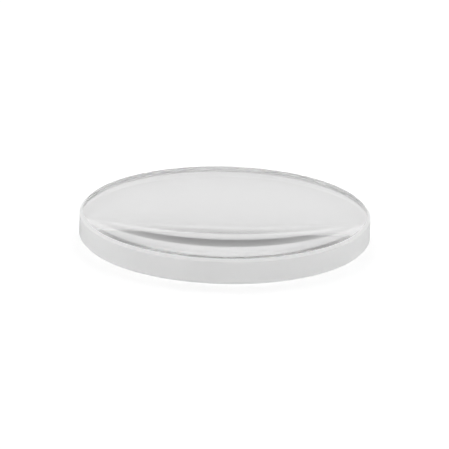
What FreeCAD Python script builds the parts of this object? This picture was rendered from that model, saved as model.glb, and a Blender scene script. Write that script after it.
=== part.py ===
import FreeCAD, Part

# Biconvex lens, ground and polished from one piece of clear optical glass.
#
# The lens is a shallow round disc. Both faces are parts of spheres of the same radius, and a
# finely ground cylinder, the rim, runs round the outside. A narrow flat bevel breaks each
# corner between a face and the rim, so that the glass doesn't chip. Lengths are in
# millimetres. Z is the optical axis, and the origin is the middle of the lens.

import math
import os

import Sketcher

PARTS_FOLDER = "parts"
NODE = "lens"
FULL_TURN = 360
RIGHT_ANGLE = 90

# Every size that can be set by itself: its name, its value and what it measures.
DRIVING_SIZES = (
    ("lens_diameter", 25.4, "outside of the rim"),
    ("edge_thickness", 2.3, "between the faces at the full diameter, before the bevels"),
    ("face_radius", 190.0, "radius of curvature of each face"),
    ("bevel_width", 0.25, "height of the rim that each bevel takes away"),
    ("bevel_angle", 45.0, "between the bevel and the rim, in degrees"),
)

# Sizes that follow from the driving ones, written as the sketches read them.
RIM_RADIUS = "sizes.lens_diameter / 2"
HALF_EDGE = "sizes.edge_thickness / 2"
FACE_RISE = f"sizes.face_radius - sqrt(sizes.face_radius ^ 2 - ({RIM_RADIUS}) ^ 2)"

# How a constraint counts the points of a line or arc, and the sketch's own axes and origin.
START_INDEX, END_INDEX, CENTRE_INDEX = 1, 2, 3
X_AXIS_INDEX, Z_AXIS_INDEX = -1, -2
ORIGIN = (X_AXIS_INDEX, START_INDEX)


def add_sizes(doc):
    """Puts the driving sizes into a spreadsheet, a row for each, with its name as the alias."""
    sheet = doc.addObject("Spreadsheet::Sheet", "sizes")
    for row, (name, value, meaning) in enumerate(DRIVING_SIZES, start=1):
        sheet.set(f"A{row}", meaning)
        sheet.set(f"B{row}", str(value))
        sheet.setAlias(f"B{row}", name)
    doc.recompute()
    return sheet


def origin_plane(body, role):
    """One of the planes of the body's own origin."""
    return next(feature for feature in body.Origin.OriginFeatures if feature.Role == role)


def new_section(body, name):
    """An empty sketch in a plane through the optical axis. Its x is the distance from the axis."""
    sketch = body.newObject("Sketcher::SketchObject", name)
    sketch.AttachmentSupport = [(origin_plane(body, "XZ_Plane"), "")]
    sketch.MapMode = "FlatFace"
    return sketch


def point(x, z):
    """A point of a section."""
    return FreeCAD.Vector(x, z, 0)


def add_dimension(sketch, name, constraint, expression):
    """Adds a dimension and binds it to the spreadsheet."""
    index = sketch.addConstraint(constraint)
    sketch.renameConstraint(index, name)
    sketch.setExpression(f"Constraints.{name}", expression)


def add_arc(sketch, centre, radius, first, last):
    """Adds the arc that runs anticlockwise about centre, from first to last."""
    circle = Part.Circle(centre, FreeCAD.Vector(0, 0, 1), radius)
    return sketch.addGeometry(Part.ArcOfCircle(circle, circle.parameter(first), circle.parameter(last)))


def draw_lens_section(body, sheet):
    """Half of the lens's section, its corners still sharp: the rim, two faces and the axis."""
    sketch = new_section(body, "lens_section")
    rim_radius = sheet.lens_diameter / 2
    half_edge = sheet.edge_thickness / 2
    face_radius = sheet.face_radius

    # Each face's centre lies on the axis, far beyond the other face.
    centre_depth = math.sqrt(face_radius**2 - rim_radius**2) - half_edge
    half_centre = face_radius - centre_depth
    upper_corner = point(rim_radius, half_edge)
    lower_corner = point(rim_radius, -half_edge)
    upper_middle = point(0, half_centre)
    lower_middle = point(0, -half_centre)

    rim = sketch.addGeometry(Part.LineSegment(lower_corner, upper_corner))
    upper_face = add_arc(sketch, point(0, -centre_depth), face_radius, upper_corner, upper_middle)
    axis = sketch.addGeometry(Part.LineSegment(upper_middle, lower_middle))
    lower_face = add_arc(sketch, point(0, centre_depth), face_radius, lower_middle, lower_corner)

    sketch.addConstraint(
        [
            Sketcher.Constraint("Coincident", rim, END_INDEX, upper_face, START_INDEX),
            Sketcher.Constraint("Coincident", upper_face, END_INDEX, axis, START_INDEX),
            Sketcher.Constraint("Coincident", axis, END_INDEX, lower_face, START_INDEX),
            Sketcher.Constraint("Coincident", lower_face, END_INDEX, rim, START_INDEX),
            Sketcher.Constraint("PointOnObject", axis, START_INDEX, Z_AXIS_INDEX),
            Sketcher.Constraint("PointOnObject", axis, END_INDEX, Z_AXIS_INDEX),
            Sketcher.Constraint("PointOnObject", upper_face, CENTRE_INDEX, Z_AXIS_INDEX),
            Sketcher.Constraint("PointOnObject", lower_face, CENTRE_INDEX, Z_AXIS_INDEX),
            Sketcher.Constraint("Symmetric", rim, START_INDEX, rim, END_INDEX, X_AXIS_INDEX),
            Sketcher.Constraint("Equal", upper_face, lower_face),
        ]
    )
    add_dimension(
        sketch,
        "face_radius",
        Sketcher.Constraint("Radius", upper_face, face_radius),
        "sizes.face_radius",
    )
    add_dimension(
        sketch,
        "rim_radius",
        Sketcher.Constraint("DistanceX", *ORIGIN, rim, END_INDEX, rim_radius),
        RIM_RADIUS,
    )
    add_dimension(
        sketch,
        "edge_thickness",
        Sketcher.Constraint("DistanceY", rim, START_INDEX, rim, END_INDEX, sheet.edge_thickness),
        "sizes.edge_thickness",
    )
    return sketch


def draw_bevel_section(body, sheet):
    """The section of the ring that is ground off the upper corner. Its slanted side is the bevel.

    The bevel starts at its foot on the rim and goes up and inwards, past the face, until it is
    level with the middle of the lens's upper face. The other sides stay clear of the glass.
    """
    sketch = new_section(body, "bevel_section")
    rim_radius = sheet.lens_diameter / 2
    foot_height = sheet.edge_thickness / 2 - sheet.bevel_width
    face_rise = sheet.face_radius - math.sqrt(sheet.face_radius**2 - rim_radius**2)
    top_height = sheet.edge_thickness / 2 + face_rise
    slope = sheet.bevel_angle - RIGHT_ANGLE
    slant_run = (top_height - foot_height) * math.tan(math.radians(sheet.bevel_angle))
    corners = (
        point(rim_radius, foot_height),
        point(rim_radius + sheet.bevel_width, foot_height),
        point(rim_radius + sheet.bevel_width, top_height),
        point(rim_radius - slant_run, top_height),
    )

    sides = [
        sketch.addGeometry(Part.LineSegment(here, there))
        for here, there in zip(corners, corners[1:] + corners[:1])
    ]
    for side, next_side in zip(sides, sides[1:] + sides[:1]):
        sketch.addConstraint(Sketcher.Constraint("Coincident", side, END_INDEX, next_side, START_INDEX))
    bottom, outside, top, slant = sides

    sketch.addConstraint(
        [
            Sketcher.Constraint("Horizontal", bottom),
            Sketcher.Constraint("Vertical", outside),
            Sketcher.Constraint("Horizontal", top),
        ]
    )
    add_dimension(
        sketch,
        "rim_radius",
        Sketcher.Constraint("DistanceX", *ORIGIN, slant, END_INDEX, rim_radius),
        RIM_RADIUS,
    )
    add_dimension(
        sketch,
        "foot_height",
        Sketcher.Constraint("DistanceY", *ORIGIN, slant, END_INDEX, foot_height),
        f"{HALF_EDGE} - sizes.bevel_width",
    )
    add_dimension(
        sketch,
        "top_height",
        Sketcher.Constraint("DistanceY", *ORIGIN, slant, START_INDEX, top_height),
        f"{HALF_EDGE} + {FACE_RISE}",
    )
    add_dimension(
        sketch,
        "clear_of_rim",
        Sketcher.Constraint("DistanceX", bottom, START_INDEX, bottom, END_INDEX, sheet.bevel_width),
        "sizes.bevel_width",
    )
    add_dimension(
        sketch,
        "slope",
        Sketcher.Constraint("Angle", slant, math.radians(slope)),
        f"sizes.bevel_angle - {RIGHT_ANGLE}",
    )
    return sketch


def turn_section(body, kind, name, section):
    """Turns a section once round the optical axis, to add glass or to take it away."""
    feature = body.newObject(kind, name)
    feature.Profile = section
    feature.ReferenceAxis = (section, ["V_Axis"])
    feature.Angle = FULL_TURN
    return feature


def build_lens(doc, sheet):
    """The whole lens: a sharp-cornered blank, then the upper bevel, then its mirror image."""
    body = doc.addObject("PartDesign::Body", NODE)
    body.Label = NODE
    body.Placement = FreeCAD.Placement()

    blank = turn_section(body, "PartDesign::Revolution", "blank", draw_lens_section(body, sheet))
    upper_bevel = turn_section(
        body, "PartDesign::Groove", "upper_bevel", draw_bevel_section(body, sheet)
    )
    lower_bevel = body.newObject("PartDesign::Mirrored", "lower_bevel")
    lower_bevel.Originals = [upper_bevel]
    lower_bevel.MirrorPlane = (origin_plane(body, "XY_Plane"), [""])
    body.Tip = lower_bevel
    doc.recompute()

    check_features(doc)
    check_takes_glass(blank, upper_bevel)
    check_takes_glass(upper_bevel, lower_bevel)
    check_one_solid(body)
    return body


def check_features(doc):
    """Stops if any feature, sketch or sheet of the document failed to recompute."""
    failed = [o.Name for o in doc.Objects if {"Invalid", "Error"} & set(o.State)]
    if failed:
        raise RuntimeError(f"these features failed: {', '.join(failed)}")


def check_takes_glass(before, after):
    """Stops if a bevel misses the glass."""
    if not after.Shape.Volume < before.Shape.Volume:
        raise RuntimeError(f"{after.Name} takes no glass away")


def check_one_solid(body):
    """Stops unless the finished body is one valid solid."""
    shape = body.Shape
    if shape.isNull() or not shape.isValid() or len(shape.Solids) != 1:
        raise RuntimeError(f"{body.Label} isn't one valid solid")


def main():
    doc = FreeCAD.newDocument("biconvex_lens")
    sheet = add_sizes(doc)
    lens = build_lens(doc, sheet)
    os.makedirs(PARTS_FOLDER, exist_ok=True)
    lens.Shape.exportStep(os.path.join(PARTS_FOLDER, f"{lens.Label}.step"))


main()
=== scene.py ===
import math

import bmesh
import bpy
from mathutils import Matrix, Vector


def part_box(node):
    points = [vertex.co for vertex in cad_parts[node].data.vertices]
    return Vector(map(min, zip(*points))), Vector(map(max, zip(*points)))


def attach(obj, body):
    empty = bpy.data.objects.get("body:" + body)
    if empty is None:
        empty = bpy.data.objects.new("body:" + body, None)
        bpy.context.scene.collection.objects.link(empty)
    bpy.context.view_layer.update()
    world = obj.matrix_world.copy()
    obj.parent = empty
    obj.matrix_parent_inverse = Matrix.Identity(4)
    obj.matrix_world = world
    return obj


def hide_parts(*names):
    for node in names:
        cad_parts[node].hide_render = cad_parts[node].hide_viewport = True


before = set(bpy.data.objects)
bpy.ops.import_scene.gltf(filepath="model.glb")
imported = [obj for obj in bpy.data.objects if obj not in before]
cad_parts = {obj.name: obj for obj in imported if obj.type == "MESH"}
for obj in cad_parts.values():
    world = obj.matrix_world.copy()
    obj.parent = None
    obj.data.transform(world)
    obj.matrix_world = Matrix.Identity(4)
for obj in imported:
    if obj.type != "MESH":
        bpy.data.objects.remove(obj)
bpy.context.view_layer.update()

bl_info = {
    "name": "Biconvex Lens",
    "version": (1, 0, 0),
    "blender": (4, 5, 0),
    "location": "3D View > Sidebar > Lens",
    "description": "Models a ground and polished biconvex lens and the studio it stands in",
    "category": "Object",
}

CAD_NODE = "lens"
BODY = "root"

LENS_LOW, LENS_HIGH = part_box(CAD_NODE)
LENS_SPAN = LENS_HIGH - LENS_LOW

# Slots of the lens's mesh.
POLISHED, GROUND, BEVELLED = 0, 1, 2

# Vertices closer together than this are one vertex, in metres.
WELD = 1e-8

# Corners of the lens that are sharper than this stay sharp; both faces are far smoother.
CREASE_ANGLE = math.radians(20)

UP = Vector((0, 0, 1))
HALF_TURN = 180

# How light the tent is, by the angle in degrees from straight behind the lens: its walls and its
# roof as the glass shows them, then the soft light of its walls and of its roof.
WALL_LEVELS = (
    (0, 0.21),
    (11, 0.21),
    (40, 0.4),
    (60, 0.95),
    (82, 1.1),
    (130, 1.1),
    (165, 0.6),
    (180, 0.4),
)
ROOF_LEVELS = ((0, 0.15), (30, 0.35), (60, 0.18), (78, 0.8), (110, 1.1), (140, 1), (180, 0.5))
LIGHT_LEVELS = ((0, 0.95), (60, 1), (100, 1.1), (140, 0.6), (160, 0.1), (180, 0))
ROOF_LIGHT = 1.05

# Half of the height over which the walls turn into the roof, as a sine.
SEAM_BLUR = 0.01

# How much the floor glows where it's seen, and how far and how finely it goes round the lens.
FLOOR_GLOW = 0.3
FLOOR_RADIUS = 3
FLOOR_SIDES = 128

# How the wiped haze on the polished faces spreads, where it starts and how rough it is at most.
HAZE_SIZE = 0.004
HAZE_START, HAZE_FULL = 0.4, 0.8
HAZE_ROUGHNESS = 0.004

# How much the ground glass's marks change its colour, and how deep they look.
MARK_TINTS = (0.98, 1.02)
MARK_RELIEF = 0.05

# The lens's middle from the middle of the picture, sideways and up, as the camera sees it.
AIM_OFFSET = (-0.000024, 0.000021)

# Light bounces often inside the glass before it leaves.
BOUNCES_IN_ALL = 32
BOUNCES_OF_A_KIND = 24

# Faces whose normals rise less than this are the rim's and not the bevels'.
RIM_SLOPE = 0.1


class LensSizes(bpy.types.PropertyGroup):
    """The lens's shape. The diameter and the middle's thickness are the CAD model's own."""

    diameter: bpy.props.FloatProperty(
        name="Diameter",
        description="Outside of the ground rim",
        default=LENS_SPAN.x,
        min=0.001,
        precision=5,
        unit="LENGTH",
    )
    centre_thickness: bpy.props.FloatProperty(
        name="Centre Thickness",
        description="From face to face along the optical axis",
        default=LENS_SPAN.z,
        min=0.0001,
        precision=5,
        unit="LENGTH",
    )
    face_radius: bpy.props.FloatProperty(
        name="Face Radius",
        description="Radius of curvature of each face",
        default=0.190,
        min=0.001,
        precision=5,
        unit="LENGTH",
    )
    bevel_width: bpy.props.FloatProperty(
        name="Bevel Width",
        description="Height of the rim that each 45 degree bevel takes away",
        default=0.00025,
        min=0.00001,
        precision=5,
        unit="LENGTH",
    )
    steps_across: bpy.props.IntProperty(
        name="Steps Across",
        description="Rings of quads on each face, from its middle to its bevel",
        default=48,
        min=4,
    )
    steps_round: bpy.props.IntProperty(
        name="Steps Round",
        description="Quads round the rim",
        default=256,
        min=32,
    )


class LensFinish(bpy.types.PropertyGroup):
    """How the polished faces and the ground rim look."""

    refractive_index: bpy.props.FloatProperty(
        name="Refractive Index",
        description="How strongly the glass bends light",
        default=1.52,
        min=1,
        max=2.5,
    )
    glass_color: bpy.props.FloatVectorProperty(
        name="Glass",
        description="Tint of the polished faces",
        default=(0.99, 0.99, 0.99),
        min=0,
        max=1,
        size=3,
        subtype="COLOR",
    )
    rim_color: bpy.props.FloatVectorProperty(
        name="Rim",
        description="Colour of the finely ground rim",
        default=(0.98, 0.98, 0.98),
        min=0,
        max=1,
        size=3,
        subtype="COLOR",
    )
    # The bevels' colour is set darker as painted shade. It stands in for the shadow on the floor
    # under the lens's edge, which shows through the bevels as a dark line.
    bevel_painted_shade_color: bpy.props.FloatVectorProperty(
        name="Bevels",
        description="Colour of the bevels, whose coarser grinding holds more dust",
        default=(0.93, 0.93, 0.93),
        min=0,
        max=1,
        size=3,
        subtype="COLOR",
    )
    rim_clearness: bpy.props.FloatProperty(
        name="Rim Clearness",
        description="Share of the light that the rim lets through",
        default=0.62,
        min=0,
        max=1,
        subtype="FACTOR",
    )
    bevel_clearness: bpy.props.FloatProperty(
        name="Bevel Clearness",
        description="Share of the light that the bevels let through",
        default=0.1,
        min=0,
        max=1,
        subtype="FACTOR",
    )
    rim_roughness: bpy.props.FloatVectorProperty(
        name="Rim Roughness",
        description="Of the rim's smoothest and roughest spots",
        default=(0.7, 0.8),
        min=0,
        max=1,
        size=2,
    )
    bevel_roughness: bpy.props.FloatVectorProperty(
        name="Bevel Roughness",
        description="Of the bevels' smoothest and roughest spots",
        default=(0.4, 0.5),
        min=0,
        max=1,
        size=2,
    )
    grit_size: bpy.props.FloatProperty(
        name="Grit",
        description="Size of the pits that the grinding left",
        default=0.00006,
        min=0.000001,
        precision=6,
        unit="LENGTH",
    )


class StudioSettings(bpy.types.PropertyGroup):
    """The camera, the floor and the light tent round the lens."""

    camera_elevation: bpy.props.FloatProperty(
        name="Camera Elevation",
        description="How far the camera looks down",
        default=math.radians(18.9),
        subtype="ANGLE",
    )
    camera_roll: bpy.props.FloatProperty(
        name="Camera Roll",
        description="How far the camera leans to its left",
        default=math.radians(1.36),
        subtype="ANGLE",
    )
    camera_distance: bpy.props.FloatProperty(
        name="Camera Distance",
        description="From the camera to the middle of the lens",
        default=1.27,
        min=0.1,
        unit="LENGTH",
    )
    focal_length: bpy.props.FloatProperty(
        name="Focal Length",
        description="Of the camera, in millimetres",
        default=1166.3,
        min=50,
        unit="CAMERA",
    )
    floor_color: bpy.props.FloatVectorProperty(
        name="Floor",
        description="Colour of the floor",
        default=(0.8, 0.8, 0.8),
        min=0,
        max=1,
        size=3,
        subtype="COLOR",
    )
    top_edge: bpy.props.FloatProperty(
        name="Top Edge",
        description="Elevation at which the tent's roof starts",
        default=math.radians(38),
        subtype="ANGLE",
    )


def start_piece():
    """Leaves nothing selected, in object mode."""
    if bpy.context.object and bpy.context.object.mode != "OBJECT":
        bpy.ops.object.mode_set(mode="OBJECT")
    bpy.ops.object.select_all(action="DESELECT")


def name_piece(name):
    """Names the new object and its mesh, and returns the object."""
    piece = bpy.context.object
    piece.name = piece.data.name = name
    return piece


def new_material(name):
    """An empty node material with its output, and the tree that holds them."""
    material = bpy.data.materials.new(name)
    material.use_nodes = True
    tree = material.node_tree
    tree.nodes.clear()
    output = tree.nodes.new("ShaderNodeOutputMaterial")
    return material, tree, output


def add_node(tree, kind, values=None, **settings):
    """A new node of a tree, with its settings, and with values for its inputs by name or number."""
    node = tree.nodes.new(kind)
    for name, value in settings.items():
        setattr(node, name, value)
    for name, value in (values or {}).items():
        node.inputs[name].default_value = value
    return node


def grit_group():
    """Fine grinding marks: pits all over, and faint scratches that run round the optical axis.

    Outputs Pits and Scratches, each from 0 to 1.
    """
    group = bpy.data.node_groups.new("Grinding Marks", "ShaderNodeTree")
    size = group.interface.new_socket("Grit Size", in_out="INPUT", socket_type="NodeSocketFloat")
    size.default_value = 0.00006
    stretch = group.interface.new_socket("Stretch", in_out="INPUT", socket_type="NodeSocketFloat")
    stretch.default_value = 12
    group.interface.new_socket("Pits", in_out="OUTPUT", socket_type="NodeSocketFloat")
    group.interface.new_socket("Scratches", in_out="OUTPUT", socket_type="NodeSocketFloat")

    inputs = group.nodes.new("NodeGroupInput")
    outputs = group.nodes.new("NodeGroupOutput")
    place = group.nodes.new("ShaderNodeTexCoord")
    fineness = add_node(group, "ShaderNodeMath", {0: 1}, operation="DIVIDE")
    group.links.new(inputs.outputs["Grit Size"], fineness.inputs[1])

    pits = add_node(group, "ShaderNodeTexNoise", {"Detail": 3, "Roughness": 0.6})
    group.links.new(place.outputs["Object"], pits.inputs["Vector"])
    group.links.new(fineness.outputs[0], pits.inputs["Scale"])
    group.links.new(pits.outputs["Fac"], outputs.inputs["Pits"])

    thin = add_node(group, "ShaderNodeCombineXYZ", {"X": 1, "Y": 1})
    group.links.new(inputs.outputs["Stretch"], thin.inputs["Z"])
    long_way = add_node(group, "ShaderNodeVectorMath", operation="MULTIPLY")
    group.links.new(place.outputs["Object"], long_way.inputs[0])
    group.links.new(thin.outputs[0], long_way.inputs[1])
    coarse = add_node(group, "ShaderNodeMath", operation="DIVIDE")
    group.links.new(fineness.outputs[0], coarse.inputs[0])
    group.links.new(inputs.outputs["Stretch"], coarse.inputs[1])
    scratches = add_node(group, "ShaderNodeTexNoise", {"Detail": 2, "Roughness": 0.5})
    group.links.new(long_way.outputs[0], scratches.inputs["Vector"])
    group.links.new(coarse.outputs[0], scratches.inputs["Scale"])
    group.links.new(scratches.outputs["Fac"], outputs.inputs["Scratches"])
    return group


def shade(color, factor):
    """A colour made darker or lighter, with the alpha that a socket wants."""
    return (*(channel * factor for channel in color), 1)


def mix_colors(tree, factor, low, high, target):
    """Feeds target a colour that goes from low to high as factor goes from 0 to 1."""
    mix = tree.nodes.new("ShaderNodeMix")
    mix.data_type = "RGBA"
    wanted = {socket.name: socket for socket in mix.inputs if socket.type == "RGBA"}
    wanted["A"].default_value, wanted["B"].default_value = low, high
    tree.links.new(factor, mix.inputs["Factor"])
    result = next(socket for socket in mix.outputs if socket.type == "RGBA")
    tree.links.new(result, target)


def polished_material(finish, marks):
    """Clear polished glass, with the faintest haze from wiping."""
    material, tree, output = new_material("Polished glass")
    shader = add_node(
        tree,
        "ShaderNodeBsdfPrincipled",
        {"Metallic": 0, "IOR": finish.refractive_index, "Transmission Weight": 1},
    )
    tree.links.new(shader.outputs[0], output.inputs["Surface"])

    haze = add_node(tree, "ShaderNodeGroup", node_tree=marks)
    haze.inputs["Grit Size"].default_value = HAZE_SIZE
    mix_colors(
        tree,
        haze.outputs["Pits"],
        shade(finish.glass_color, 0.99),
        shade(finish.glass_color, 1),
        shader.inputs["Base Color"],
    )

    smooth = add_node(
        tree,
        "ShaderNodeMapRange",
        {"From Min": HAZE_START, "From Max": HAZE_FULL, "To Min": 0, "To Max": HAZE_ROUGHNESS},
    )
    tree.links.new(haze.outputs["Pits"], smooth.inputs["Value"])
    tree.links.new(smooth.outputs["Result"], shader.inputs["Roughness"])
    return material


def ground_material(name, finish, marks, color, clearness, roughness):
    """Ground glass, which blurs and whitens what shows through it.

    Roughness is that of its smoothest spots and of its roughest ones.
    """
    material, tree, output = new_material(name)
    shader = add_node(
        tree,
        "ShaderNodeBsdfPrincipled",
        {"Metallic": 0, "IOR": finish.refractive_index, "Transmission Weight": clearness},
    )
    tree.links.new(shader.outputs[0], output.inputs["Surface"])

    grit = add_node(tree, "ShaderNodeGroup", node_tree=marks)
    grit.inputs["Grit Size"].default_value = finish.grit_size

    worn = add_node(tree, "ShaderNodeMath", {1: 0.5}, operation="MULTIPLY_ADD")
    tree.links.new(grit.outputs["Pits"], worn.inputs[0])
    half = add_node(tree, "ShaderNodeMath", {1: 0.5}, operation="MULTIPLY")
    tree.links.new(grit.outputs["Scratches"], half.inputs[0])
    tree.links.new(half.outputs[0], worn.inputs[2])
    mix_colors(
        tree,
        worn.outputs[0],
        *(shade(color, tint) for tint in MARK_TINTS),
        shader.inputs["Base Color"],
    )

    smoothest, roughest = roughness
    dull = add_node(tree, "ShaderNodeMapRange", {"To Min": smoothest, "To Max": roughest})
    tree.links.new(worn.outputs[0], dull.inputs["Value"])
    tree.links.new(dull.outputs["Result"], shader.inputs["Roughness"])

    relief = {"Strength": MARK_RELIEF, "Distance": finish.grit_size}
    bump = add_node(tree, "ShaderNodeBump", relief)
    tree.links.new(worn.outputs[0], bump.inputs["Height"])
    tree.links.new(bump.outputs["Normal"], shader.inputs["Normal"])
    return material


def bevel_rise(sizes, face_centre, foot_height):
    """How far the 45 degree bevel rises, and goes inwards, from its foot on the rim to the face."""
    radius = sizes.diameter / 2
    above_centre = foot_height - face_centre
    half_sum = (radius - above_centre) / 2
    gap = (radius**2 + above_centre**2 - sizes.face_radius**2) / 2
    return half_sum + math.sqrt(half_sum**2 - gap)


def add_profile(sizes):
    """Half of the lens's section as a line of edges, from the top face's middle to the bottom's.

    Each face is spun about its own centre of curvature. Returns the bevel's inner radius.
    """
    radius = sizes.diameter / 2
    top = sizes.centre_thickness / 2
    face_centre = top - sizes.face_radius
    edge_height = face_centre + math.sqrt(sizes.face_radius**2 - radius**2)
    foot_height = edge_height - sizes.bevel_width
    rise = bevel_rise(sizes, face_centre, foot_height)
    inner_radius = radius - rise
    face_angle = math.asin(inner_radius / sizes.face_radius)

    bpy.ops.mesh.primitive_plane_add(size=rise, location=(0, 0, top))
    bpy.ops.object.mode_set(mode="EDIT")
    bpy.ops.mesh.merge(type="CENTER")
    bpy.ops.mesh.spin(
        steps=sizes.steps_across, angle=face_angle, center=(0, 0, face_centre), axis=(0, -1, 0)
    )
    for move in ((rise, 0, -rise), (0, 0, -2 * foot_height), (-rise, 0, -rise)):
        bpy.ops.mesh.extrude_vertices_move(TRANSFORM_OT_translate={"value": move})
    bpy.ops.mesh.spin(
        steps=sizes.steps_across, angle=face_angle, center=(0, 0, -face_centre), axis=(0, -1, 0)
    )
    return inner_radius


def turn_profile(steps):
    """Spins the section once round the optical axis, then closes the seam and both middles."""
    bpy.ops.mesh.select_all(action="SELECT")
    bpy.ops.mesh.spin(steps=steps, angle=2 * math.pi, center=(0, 0, 0), axis=UP)
    bpy.ops.mesh.select_all(action="SELECT")
    bpy.ops.mesh.remove_doubles(threshold=WELD)
    bpy.ops.mesh.normals_make_consistent(inside=False)


def assign_ground(piece, inner_radius):
    """Gives the ground finishes to the rim and the bevels, which lie outside the polished faces."""
    for slot, is_level in ((GROUND, True), (BEVELLED, False)):
        mesh = bmesh.from_edit_mesh(piece.data)
        bpy.ops.mesh.select_all(action="DESELECT")
        for face in mesh.faces:
            outside = face.calc_center_median().xy.length > inner_radius
            face.select_set(outside and (abs(face.normal.z) < RIM_SLOPE) == is_level)
        bmesh.update_edit_mesh(piece.data)
        piece.active_material_index = slot
        bpy.ops.object.material_slot_assign()


class LENS_OT_add_lens(bpy.types.Operator):
    """Add the lens, in place of the CAD model's"""

    bl_idname = "lens.add_lens"
    bl_label = "Add Lens"

    def execute(self, context):
        sizes = context.scene.lens_sizes
        finish = context.scene.lens_finish
        start_piece()
        inner_radius = add_profile(sizes)
        turn_profile(sizes.steps_round)
        piece = name_piece("clear_lens")
        marks = grit_group()
        rim = (finish.rim_color, finish.rim_clearness, finish.rim_roughness)
        # The bevels' colour carries painted shade: it is darker to stand in for the shadow under
        # the lens's edge.
        bevel = (finish.bevel_painted_shade_color, finish.bevel_clearness, finish.bevel_roughness)
        piece.data.materials.append(polished_material(finish, marks))
        piece.data.materials.append(ground_material("Ground glass", finish, marks, *rim))
        piece.data.materials.append(ground_material("Bevelled glass", finish, marks, *bevel))
        assign_ground(piece, inner_radius)
        bpy.ops.object.mode_set(mode="OBJECT")
        bpy.ops.object.transform_apply(location=True, rotation=True, scale=True)
        bpy.ops.object.shade_smooth_by_angle(angle=CREASE_ANGLE)

        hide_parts(CAD_NODE)
        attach(piece, BODY)
        return {"FINISHED"}


def in_sight(tree):
    """1 for what the camera sees, straight or by way of the glass, and 0 for what lights a surface.

    Light that has left a dull surface, such as the floor or ground glass, counts as the latter.
    """
    path = tree.nodes.new("ShaderNodeLightPath")
    seen = path.outputs["Is Camera Ray"]
    for name in ("Is Glossy Ray", "Is Transmission Ray"):
        either = add_node(tree, "ShaderNodeMath", operation="MAXIMUM")
        tree.links.new(seen, either.inputs[0])
        tree.links.new(path.outputs[name], either.inputs[1])
        seen = either.outputs[0]
    direct = add_node(tree, "ShaderNodeMath", {1: 1}, operation="LESS_THAN")
    tree.links.new(path.outputs["Diffuse Depth"], direct.inputs[0])
    both = add_node(tree, "ShaderNodeMath", operation="MULTIPLY")
    tree.links.new(seen, both.inputs[0])
    tree.links.new(direct.outputs[0], both.inputs[1])
    return both.outputs[0]


def floor_material(settings):
    """A white table top: lit paper, which glows a little where it's seen, so that it is white."""
    material, tree, output = new_material("White floor")
    paper = add_node(tree, "ShaderNodeBsdfDiffuse", {"Color": shade(settings.floor_color, 1)})
    glow = tree.nodes.new("ShaderNodeEmission")
    strength = add_node(tree, "ShaderNodeMath", {1: FLOOR_GLOW}, operation="MULTIPLY")
    tree.links.new(in_sight(tree), strength.inputs[0])
    tree.links.new(strength.outputs[0], glow.inputs["Strength"])
    both = tree.nodes.new("ShaderNodeAddShader")
    tree.links.new(paper.outputs[0], both.inputs[0])
    tree.links.new(glow.outputs[0], both.inputs[1])

    below = tree.nodes.new("ShaderNodeNewGeometry")
    clear = tree.nodes.new("ShaderNodeBsdfTransparent")
    side = tree.nodes.new("ShaderNodeMixShader")
    tree.links.new(below.outputs["Backfacing"], side.inputs["Fac"])
    tree.links.new(both.outputs[0], side.inputs[1])
    tree.links.new(clear.outputs[0], side.inputs[2])
    tree.links.new(side.outputs[0], output.inputs["Surface"])
    material.cycles.emission_sampling = "NONE"
    return material


def brightness_ramp(tree, factor, stops):
    """A brightness that follows the angle round the lens. Stops pair that angle with a level."""
    ramp = tree.nodes.new("ShaderNodeValToRGB")
    for _ in stops[2:]:
        ramp.color_ramp.elements.new(0.5)
    for element, (angle, level) in zip(ramp.color_ramp.elements, stops):
        element.position = angle / HALF_TURN
        element.color = (level, level, level, 1)
    tree.links.new(factor, ramp.inputs["Fac"])
    return ramp.outputs["Color"]


def tent_light(tree, settings):
    """How light the tent is in each direction: grey behind the lens, white at its sides.

    Returns its brightness as the glass shows it, then the brightness of its soft light.
    """
    place = tree.nodes.new("ShaderNodeTexCoord")
    parts = tree.nodes.new("ShaderNodeSeparateXYZ")
    tree.links.new(place.outputs["Generated"], parts.inputs[0])

    round_lens = add_node(tree, "ShaderNodeMath", operation="ARCTAN2")
    tree.links.new(parts.outputs["X"], round_lens.inputs[0])
    tree.links.new(parts.outputs["Y"], round_lens.inputs[1])
    either_way = add_node(tree, "ShaderNodeMath", operation="ABSOLUTE")
    tree.links.new(round_lens.outputs[0], either_way.inputs[0])
    share = add_node(tree, "ShaderNodeMath", {1: math.pi}, operation="DIVIDE")
    tree.links.new(either_way.outputs[0], share.inputs[0])

    edge = math.sin(settings.top_edge)
    roof = add_node(
        tree,
        "ShaderNodeMapRange",
        {"From Min": edge - SEAM_BLUR, "From Max": edge + SEAM_BLUR},
        interpolation_type="SMOOTHSTEP",
    )
    tree.links.new(parts.outputs["Z"], roof.inputs["Value"])

    light = tree.nodes.new("ShaderNodeMapRange")
    tree.links.new(roof.outputs["Result"], light.inputs["Value"])
    for stops, target in ((WALL_LEVELS, "To Min"), (ROOF_LEVELS, "To Max")):
        tree.links.new(brightness_ramp(tree, share.outputs[0], stops), light.inputs[target])
    soft = add_node(tree, "ShaderNodeMapRange", {"To Max": ROOF_LIGHT})
    tree.links.new(roof.outputs["Result"], soft.inputs["Value"])
    tree.links.new(brightness_ramp(tree, share.outputs[0], LIGHT_LEVELS), soft.inputs["To Min"])
    return light.outputs["Result"], soft.outputs["Result"]


def add_floor(settings):
    """A round table top, just under the lens."""
    start_piece()
    bpy.ops.mesh.primitive_circle_add(
        vertices=FLOOR_SIDES, radius=FLOOR_RADIUS, fill_type="NGON", location=(0, 0, LENS_LOW.z)
    )
    bpy.ops.object.transform_apply()
    floor = name_piece("floor")
    floor.data.materials.append(floor_material(settings))


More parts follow.
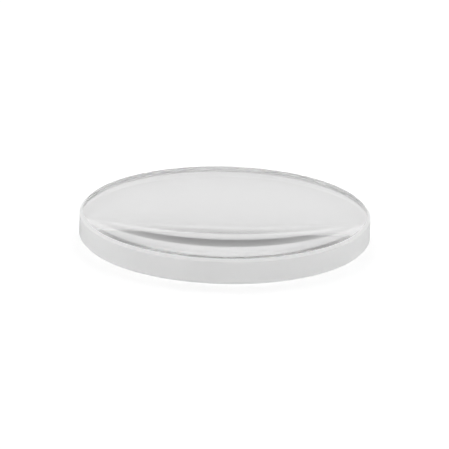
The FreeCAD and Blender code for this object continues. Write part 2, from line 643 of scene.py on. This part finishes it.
def add_world(settings):
    """A light tent far round the lens, plain white behind the floor where the camera sees it."""
    world = bpy.data.worlds.new("Light tent")
    world.use_nodes = True
    tree = world.node_tree
    tree.nodes.clear()
    output = tree.nodes.new("ShaderNodeOutputWorld")
    light = add_node(tree, "ShaderNodeBackground", {"Color": (1, 1, 1, 1)})
    seen, soft = tent_light(tree, settings)
    shown = tree.nodes.new("ShaderNodeMapRange")
    tree.links.new(in_sight(tree), shown.inputs["Value"])
    tree.links.new(soft, shown.inputs["To Min"])
    tree.links.new(seen, shown.inputs["To Max"])

    path = tree.nodes.new("ShaderNodeLightPath")
    strength = add_node(tree, "ShaderNodeMapRange", {"To Max": 1})
    tree.links.new(path.outputs["Is Camera Ray"], strength.inputs["Value"])
    tree.links.new(shown.outputs["Result"], strength.inputs["To Min"])
    tree.links.new(strength.outputs["Result"], light.inputs["Strength"])
    tree.links.new(light.outputs[0], output.inputs["Surface"])
    world.cycles.sampling_method = "NONE"
    bpy.context.scene.world = world


def add_camera(settings):
    """A camera with a very long lens, at the photograph's angle."""
    data = bpy.data.cameras.new("camera")
    data.lens = settings.focal_length
    data.clip_start, data.clip_end = 0.01, 10
    camera = bpy.data.objects.new("camera", data)
    bpy.context.scene.collection.objects.link(camera)
    turn = (
        Matrix.Rotation(math.pi / 2 - settings.camera_elevation, 4, "X")
        @ Matrix.Rotation(settings.camera_roll, 4, "Z")
    )
    away = turn @ Vector((*AIM_OFFSET, settings.camera_distance))
    camera.matrix_world = Matrix.Translation(away) @ turn
    bpy.context.scene.camera = camera


class LENS_OT_add_studio(bpy.types.Operator):
    """Add the floor, the light tent and the camera"""

    bl_idname = "lens.add_studio"
    bl_label = "Add Studio"

    def execute(self, context):
        settings = context.scene.lens_studio
        add_floor(settings)
        add_world(settings)
        add_camera(settings)
        context.scene.view_settings.view_transform = "Standard"
        cycles = context.scene.cycles
        cycles.blur_glossy = 0
        cycles.max_bounces = BOUNCES_IN_ALL
        cycles.diffuse_bounces = BOUNCES_OF_A_KIND
        cycles.glossy_bounces = BOUNCES_OF_A_KIND
        cycles.transmission_bounces = BOUNCES_OF_A_KIND
        return {"FINISHED"}


class LENS_PT_panel(bpy.types.Panel):
    """Lists the sizes, the finish, the studio and what builds them"""

    bl_label = "Biconvex Lens"
    bl_space_type = "VIEW_3D"
    bl_region_type = "UI"
    bl_category = "Lens"

    def draw(self, context):
        layout = self.layout
        for group in (getattr(context.scene, name) for name in SETTINGS):
            box = layout.box()
            for name in group.__annotations__:
                box.prop(group, name)
        for operator in OPERATORS:
            layout.operator(operator.bl_idname)


SETTINGS = {"lens_sizes": LensSizes, "lens_finish": LensFinish, "lens_studio": StudioSettings}
OPERATORS = (LENS_OT_add_lens, LENS_OT_add_studio)


def register():
    for group in SETTINGS.values():
        bpy.utils.register_class(group)
    for name, group in SETTINGS.items():
        setattr(bpy.types.Scene, name, bpy.props.PointerProperty(type=group))
    for operator in OPERATORS:
        bpy.utils.register_class(operator)
    bpy.utils.register_class(LENS_PT_panel)


def unregister():
    bpy.utils.unregister_class(LENS_PT_panel)
    for operator in OPERATORS:
        bpy.utils.unregister_class(operator)
    for name, group in SETTINGS.items():
        delattr(bpy.types.Scene, name)
        bpy.utils.unregister_class(group)


def main():
    register()
    bpy.ops.lens.add_lens()
    bpy.ops.lens.add_studio()


if __name__ == "__main__":
    main()
